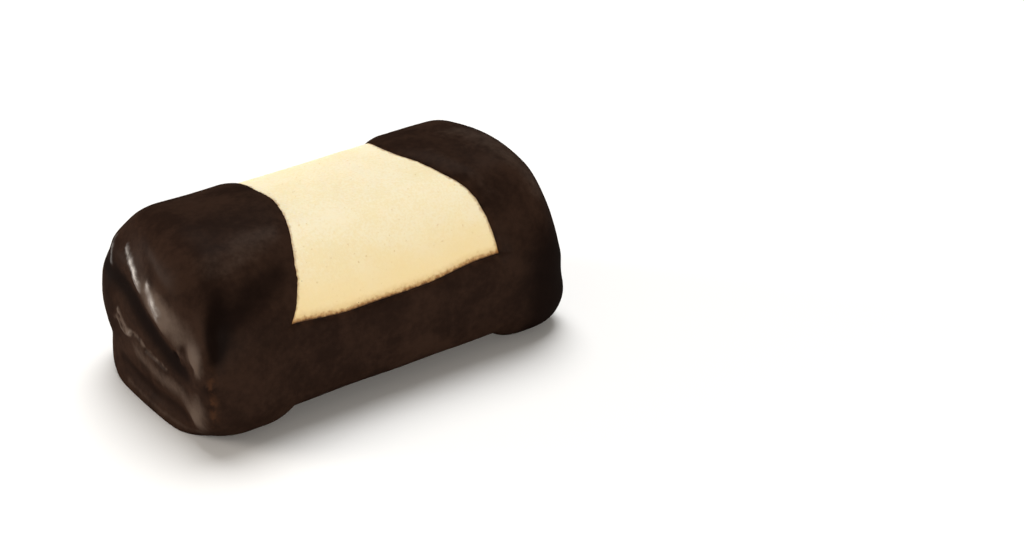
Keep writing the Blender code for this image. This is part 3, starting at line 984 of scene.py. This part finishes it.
def smoothProfile(value, stops, levels):
    # a rounded curve through the levels, level at both ends
    slopes = np.gradient(levels, stops)
    slopes[[0, -1]] = 0.0
    value = np.clip(value, stops[0], stops[-1])
    cell = np.clip(np.searchsorted(stops, value) - 1, 0, len(stops) - 2)
    width = stops[cell + 1] - stops[cell]
    t = (value - stops[cell]) / width
    start = levels[cell] * (1 + 2 * t) * (1 - t) ** 2 + slopes[cell] * width * t * (1 - t) ** 2
    stop = levels[cell + 1] * t**2 * (3 - 2 * t) + slopes[cell + 1] * width * t**2 * (t - 1)
    return start + stop


def nearLeftEnd(x):
    reach = dippedForm["endTopRound"] * leftEnd["reach"]
    return smoothStep((-x - dippedForm["halfLength"] + reach) / reach)


def leftEndRelief(places):
    # heights over the creased end and, beside them, the painted highlight and shade and how wet
    # each place is
    spots = places[:, 1:] / millimetre
    shares = [bell(alongPath(spots, path), radius) for path, radius, *_ in leftEnd["paths"]]
    marks = [mark for _, _, *mark in leftEnd["paths"]]
    lineY, lineZ = np.array(leftEnd["shelf"][::-1]).T
    above = np.sign(spots[:, 1] - np.interp(spots[:, 0], lineY, lineZ))
    above *= alongPath(spots, leftEnd["shelf"])
    dark, edge = leftEnd["shelfPaintedShade"], leftEnd["foldEdge"]
    uneven = edge["uneven"] * noiseAt(places, edge["length"], edge["seed"])
    uneven = np.clip(edge["evenShare"] + uneven, edge["least"], edge["most"])
    shares.append(bell(above - dark["above"], dark["radius"]))
    shares.append(bell(alongPath(spots, leftEnd["fold"]), edge["radius"]) * uneven)
    marks += [dark["mark"], edge["mark"]]
    heights, tone, shine = np.array(marks).T @ np.array(shares)
    heights += smoothProfile(above, *np.array(leftEnd["shelfProfile"]).T)
    foldY, foldZ = np.array(leftEnd["fold"][::-1]).T
    under = np.interp(spots[:, 0], foldY, foldZ) - spots[:, 1]
    beyond, sideFade = leftEnd["foldBeyond"], leftEnd["foldSideFade"]
    inside = smoothStep((spots[:, 0] - foldY[0] + beyond) / sideFade)
    inside *= smoothStep((foldY[-1] + beyond - spots[:, 0]) / sideFade)
    flap = bell(np.maximum(under, 0.0), leftEnd["foldFade"])
    flap *= smoothStep(under / leftEnd["foldEase"])
    heights += leftEnd["foldStep"] * flap * inside
    near = nearLeftEnd(places[:, 0])
    return heights * near * millimetre, tone * near, shine * near


def sharpenCorner(places):
    # turns the round plan of the front left corner into a squarer one
    radius = dippedForm["planCorner"]
    toLeft = -(dippedForm["halfLength"] - radius) - places[:, 0]
    toFront = -(dippedForm["halfWidth"] - radius) - places[:, 1]
    inside = (toLeft > 0.0) & (toFront > 0.0)
    toLeft, toFront, height = toLeft[inside], toFront[inside], places[inside, 2]
    away = np.hypot(toLeft, toFront)
    high = smoothStep((frontCorner["fadeFrom"] - height) / frontCorner["fadeOver"])
    foot = smoothStep(height / frontCorner["footHeight"])
    power = frontCorner["footPower"] + (frontCorner["power"] - frontCorner["footPower"]) * foot
    power = roundPower + (power - roundPower) * high
    scale = ((toLeft / away) ** power + (toFront / away) ** power) ** (-1.0 / power) - 1.0
    places = places.copy()
    places[inside, 0] -= toLeft * scale
    places[inside, 1] -= toFront * scale
    return places


def footBead(places):
    bead = leftEnd["bead"]
    across = np.clip(1.0 - (places[:, 1] / bead["halfWidth"]) ** 2, 0.0, 1.0)
    low = smoothStep(1.0 - places[:, 2] / bead["rise"])
    return bead["height"] * nearLeftEnd(places[:, 0]) * across * low


def makeCoatSkins():
    loaf, normals, bare = wavyBar(coat)
    lipShare = quarterRound(loaf["belowLine"] / coat["bandLip"])
    thick = coat["edgeThick"] + (coat["bandThick"] - coat["edgeThick"]) * lipShare
    withBand = bare + normals * thick[:, None]
    spots = sharpenCorner(buildLoaf(dippedForm, coat)["places"])
    dippedNormals = skinNormals(loaf, spots)
    wave = noiseAt(spots, unevenness["waveLength"], unevenness["chocolateSeed"])
    heights = unevenness["chocolateWave"] * wave
    creases, tone, shine = leftEndRelief(spots)
    heights += creases
    # the shoulders add painted sheen and painted shade to the tone
    for path, radius, height, pale in shoulders:
        share = bell(alongPath(spots / millimetre, path), radius)
        heights += height * millimetre * share
        tone += pale * share
    for *middle, radius, height in bumps:
        heights += height * bell(np.linalg.norm(spots - middle, axis=1), radius)
    heights = heights * smoothStep(spots[:, 2] / coat["footFade"]) + footBead(spots)
    withCap = spots + dippedNormals * heights[:, None]
    facingDown = smoothStep(-normals[:, 2])
    onBand = smoothStep(loaf["belowLine"] / coat["sideLipFade"]) * (1.0 - facingDown)
    lip = coat["lipBlend"] + (coat["sideLip"] - coat["lipBlend"]) * onBand
    lip += (coat["lipUnderneath"] - coat["lipBlend"]) * facingDown
    share = 1.0 - (1.0 - np.clip(loaf["pastCap"] / lip, 0.0, 1.0)) ** coat["lipPower"]
    outer = withBand + (withCap - withBand) * share[:, None]
    outer[:, 2] = np.maximum(outer[:, 2], 0.0)
    return loaf, outer, bare - normals * coat["sunk"], tone * share, shine * share


def rimFaces(loaf, stride, outerOf, innerOf):
    # the strip round the window, from the fine outer skin to the coarse inner one
    first, last = loaf["window"]
    low, high = loaf["lineIndex"], loaf["ring"] - loaf["lineIndex"]
    tube = loaf["tube"]
    sides = [
        (tube[first, low : high + 1], True),
        (tube[last, low : high + 1], False),
        (tube[first : last + 1, low], False),
        (tube[first : last + 1, high], True),
    ]
    faces = []
    for side, backwards in sides:
        for start in range(0, len(side) - 1, stride):
            piece = side[start : start + stride + 1]
            piece = piece[::-1] if backwards else piece
            faces.append([outerOf[k] for k in piece] + [innerOf[piece[-1]], innerOf[piece[0]]])
    return faces


def makeCoatBody():
    loaf, outer, inner, tone, shine = makeCoatSkins()
    stride = coat["stride"]
    fine = skinFaces(loaf, onlyCovered=True)
    coarse = np.vstack([tubeFaces(loaf, stride, onlyCovered=True), coarseEnds(loaf, stride)])
    usedOuter, usedInner = np.unique(np.concatenate(fine)), np.unique(coarse)
    outerOf, innerOf = np.full((2, len(outer)), -1)
    outerOf[usedOuter] = np.arange(len(usedOuter))
    innerOf[usedInner] = len(usedOuter) + np.arange(len(usedInner))
    faces = [outerOf[face].tolist() for face in fine] + innerOf[coarse][:, ::-1].tolist()
    faces += rimFaces(loaf, stride, outerOf, innerOf)
    places = np.vstack([outer[usedOuter], inner[usedInner]])
    isOuter = np.concatenate([np.ones(len(usedOuter)), np.zeros(len(usedInner))])
    used = np.concatenate([usedOuter, usedInner])
    pastCap, belowLine = loaf["pastCap"][used], loaf["belowLine"][used]
    fromEdge = np.maximum(np.maximum(pastCap, belowLine), 0.0)
    edge = smoothStep(1.0 - fromEdge / coat["edgeWidth"])
    fromCorner = (places - cornerSpots["middle"]) / cornerSpots["radii"]
    corner = bell(np.linalg.norm(fromCorner, axis=1), 1.0)
    reliefShare = smoothStep(fromEdge / coat["reliefFade"])
    reliefShare *= smoothStep(places[:, 2] / coat["reliefFootFade"])
    attributes = {
        "relief": isOuter * reliefShare,
        "thin": np.maximum(edge * coat["edgeThin"], corner * cornerSpots["strength"]),
        # painted highlights and painted shade, and darker along the dip's rim
        "tone": (tone[used] - edge * coat["edgeDark"]) * isOuter,
        "shine": shine[used] * isOuter,
    }
    return makeMesh("coat_source", places, faces, attributes)


coatSource = makeCoatBody()
inputs = coat["relief"] | {"Material": chocolateMaterial}
coatPiece = runTree(relief, coatSource, inputs, "chocolate")
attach(coatPiece, "root")
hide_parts("chocolate_coat")
print("chocolate done:", len(coatPiece.data.polygons), "faces")


# Specks: ground almond in the marzipan, and chocolate flecks beside the dipped edges

specks = {
    "almond_specks": {"Size": 0.00011, "Flatness": 0.3, "Density": 60000.0, "Seed": 4.0},
    "chocolate_flecks": {"Size": 0.00008, "Flatness": 0.4, "Density": 900000.0, "Seed": 9.0},
}

strewing = {
    "clear": 0.0004,  # no speck is nearer to a dipped edge than this
    "lineReach": 0.0004,  # the flecks thin out over this length from the base dip
    "capReach": 0.0005,  # and over this one from the caps
    "capShare": 0.6,
}


def readAttribute(source, name):
    values = np.zeros(len(source.data.vertices), np.float32)
    source.data.attributes[name].data.foreach_get("value", values)
    return values


def addSpecks(name, values, material):
    strewn = marzipanSource.data.attributes["strewn"]
    strewn.data.foreach_set("value", np.ascontiguousarray(values, np.float32))
    piece = runTree(scatter, marzipanSource, specks[name] | {"Material": material}, name)
    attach(piece, "root")
    print(name, "done:", len(piece.data.polygons), "faces")


toLine = readAttribute(marzipanSource, "toLine")
toCap = readAttribute(marzipanSource, "toCap")
bareArea = ((toLine > strewing["clear"]) & (toCap > strewing["clear"])).astype(float)
addSpecks("almond_specks", bareArea, almondMaterial)
nearLine = bareArea * np.exp(-np.maximum(toLine, 0.0) / strewing["lineReach"])
nearCap = bareArea * np.exp(-np.maximum(toCap, 0.0) / strewing["capReach"])
nearEdge = np.maximum(nearLine, nearCap * strewing["capShare"])
addSpecks("chocolate_flecks", nearEdge, chocolateMaterial)
for source in (marzipanSource, coatSource):
    bpy.data.objects.remove(source, do_unlink=True)


# Stage: pale floor, soft lights and the photograph's view

stage = {
    "floorHalf": 1.5,
    "floorLook": {
        "Base Color": (0.94, 0.94, 0.94, 1.0),
        "Roughness": 0.8,
        "Specular IOR Level": 0.1,
    },
    "world": (1.0, 0.94, 0.85, 1.0),
    "worldStrength": 0.2,
}

overhead = {
    "from": (0.25, 0.33, 0.9),
    "spread": 42.0,
    "strength": 2.75,
    "colour": (1.0, 1.0, 0.995),
}

lights = {  # place, aim, width, height, watts, colour
    "leftSoftbox": (
        (-0.56, 0.54, 0.11), (-0.03, 0.0, 0.015), 0.34, 0.2, 6.4, (1.0, 0.92, 0.83),
    ),
    "frontFill": (
        (-0.1, -0.98, 0.2), (0.0, 0.0, 0.015), 0.9, 0.3, 6.2, (1.0, 0.95, 0.88),
    ),
}

view = {
    "eye": (-0.155745, -0.258958, 0.171966),
    "yaw": -36.4635,
    "pitch": 27.9885,
    "lens": 73.88,
}


def makeStage():
    half = stage["floorHalf"]
    corners = [(-half, -half, 0.0), (half, -half, 0.0), (half, half, 0.0), (-half, half, 0.0)]
    floor = makeMesh("floor", np.array(corners), [(0, 1, 2, 3)], {})
    floor.data.materials.append(newMaterial("floor", stage["floorLook"])[0])
    world = bpy.data.worlds.new("studio")
    world.use_nodes = True
    background = world.node_tree.nodes["Background"]
    background.inputs["Color"].default_value = stage["world"]
    background.inputs["Strength"].default_value = stage["worldStrength"]
    bpy.context.scene.world = world


def addLights():
    sun = bpy.data.lights.new("overhead", "SUN")
    sun.angle = math.radians(overhead["spread"])
    sun.energy = overhead["strength"]
    sun.color = overhead["colour"]
    lamp = addObject("overhead", sun)
    lamp.rotation_euler = Vector(overhead["from"]).to_track_quat("Z", "Y").to_euler()
    for name, (place, aim, width, height, watts, colour) in lights.items():
        data = bpy.data.lights.new(name, "AREA")
        data.shape = "RECTANGLE"
        data.size, data.size_y = width, height
        data.energy = watts
        data.color = colour
        lamp = addObject(name, data)
        lamp.location = place
        lamp.rotation_euler = (Vector(aim) - Vector(place)).to_track_quat("-Z", "Y").to_euler()


def addCamera():
    yaw, pitch = math.radians(view["yaw"]), math.radians(view["pitch"])
    level = math.cos(pitch)
    back = Vector((math.sin(yaw) * level, -math.cos(yaw) * level, math.sin(pitch)))
    data = bpy.data.cameras.new("camera")
    data.lens = view["lens"]
    camera = addObject("camera", data)
    camera.location = view["eye"]
    camera.rotation_euler = (-back).to_track_quat("-Z", "Y").to_euler()
    bpy.context.scene.camera = camera


makeStage()
addLights()
addCamera()
bpy.context.scene.view_settings.view_transform = "Standard"
print("stage set")
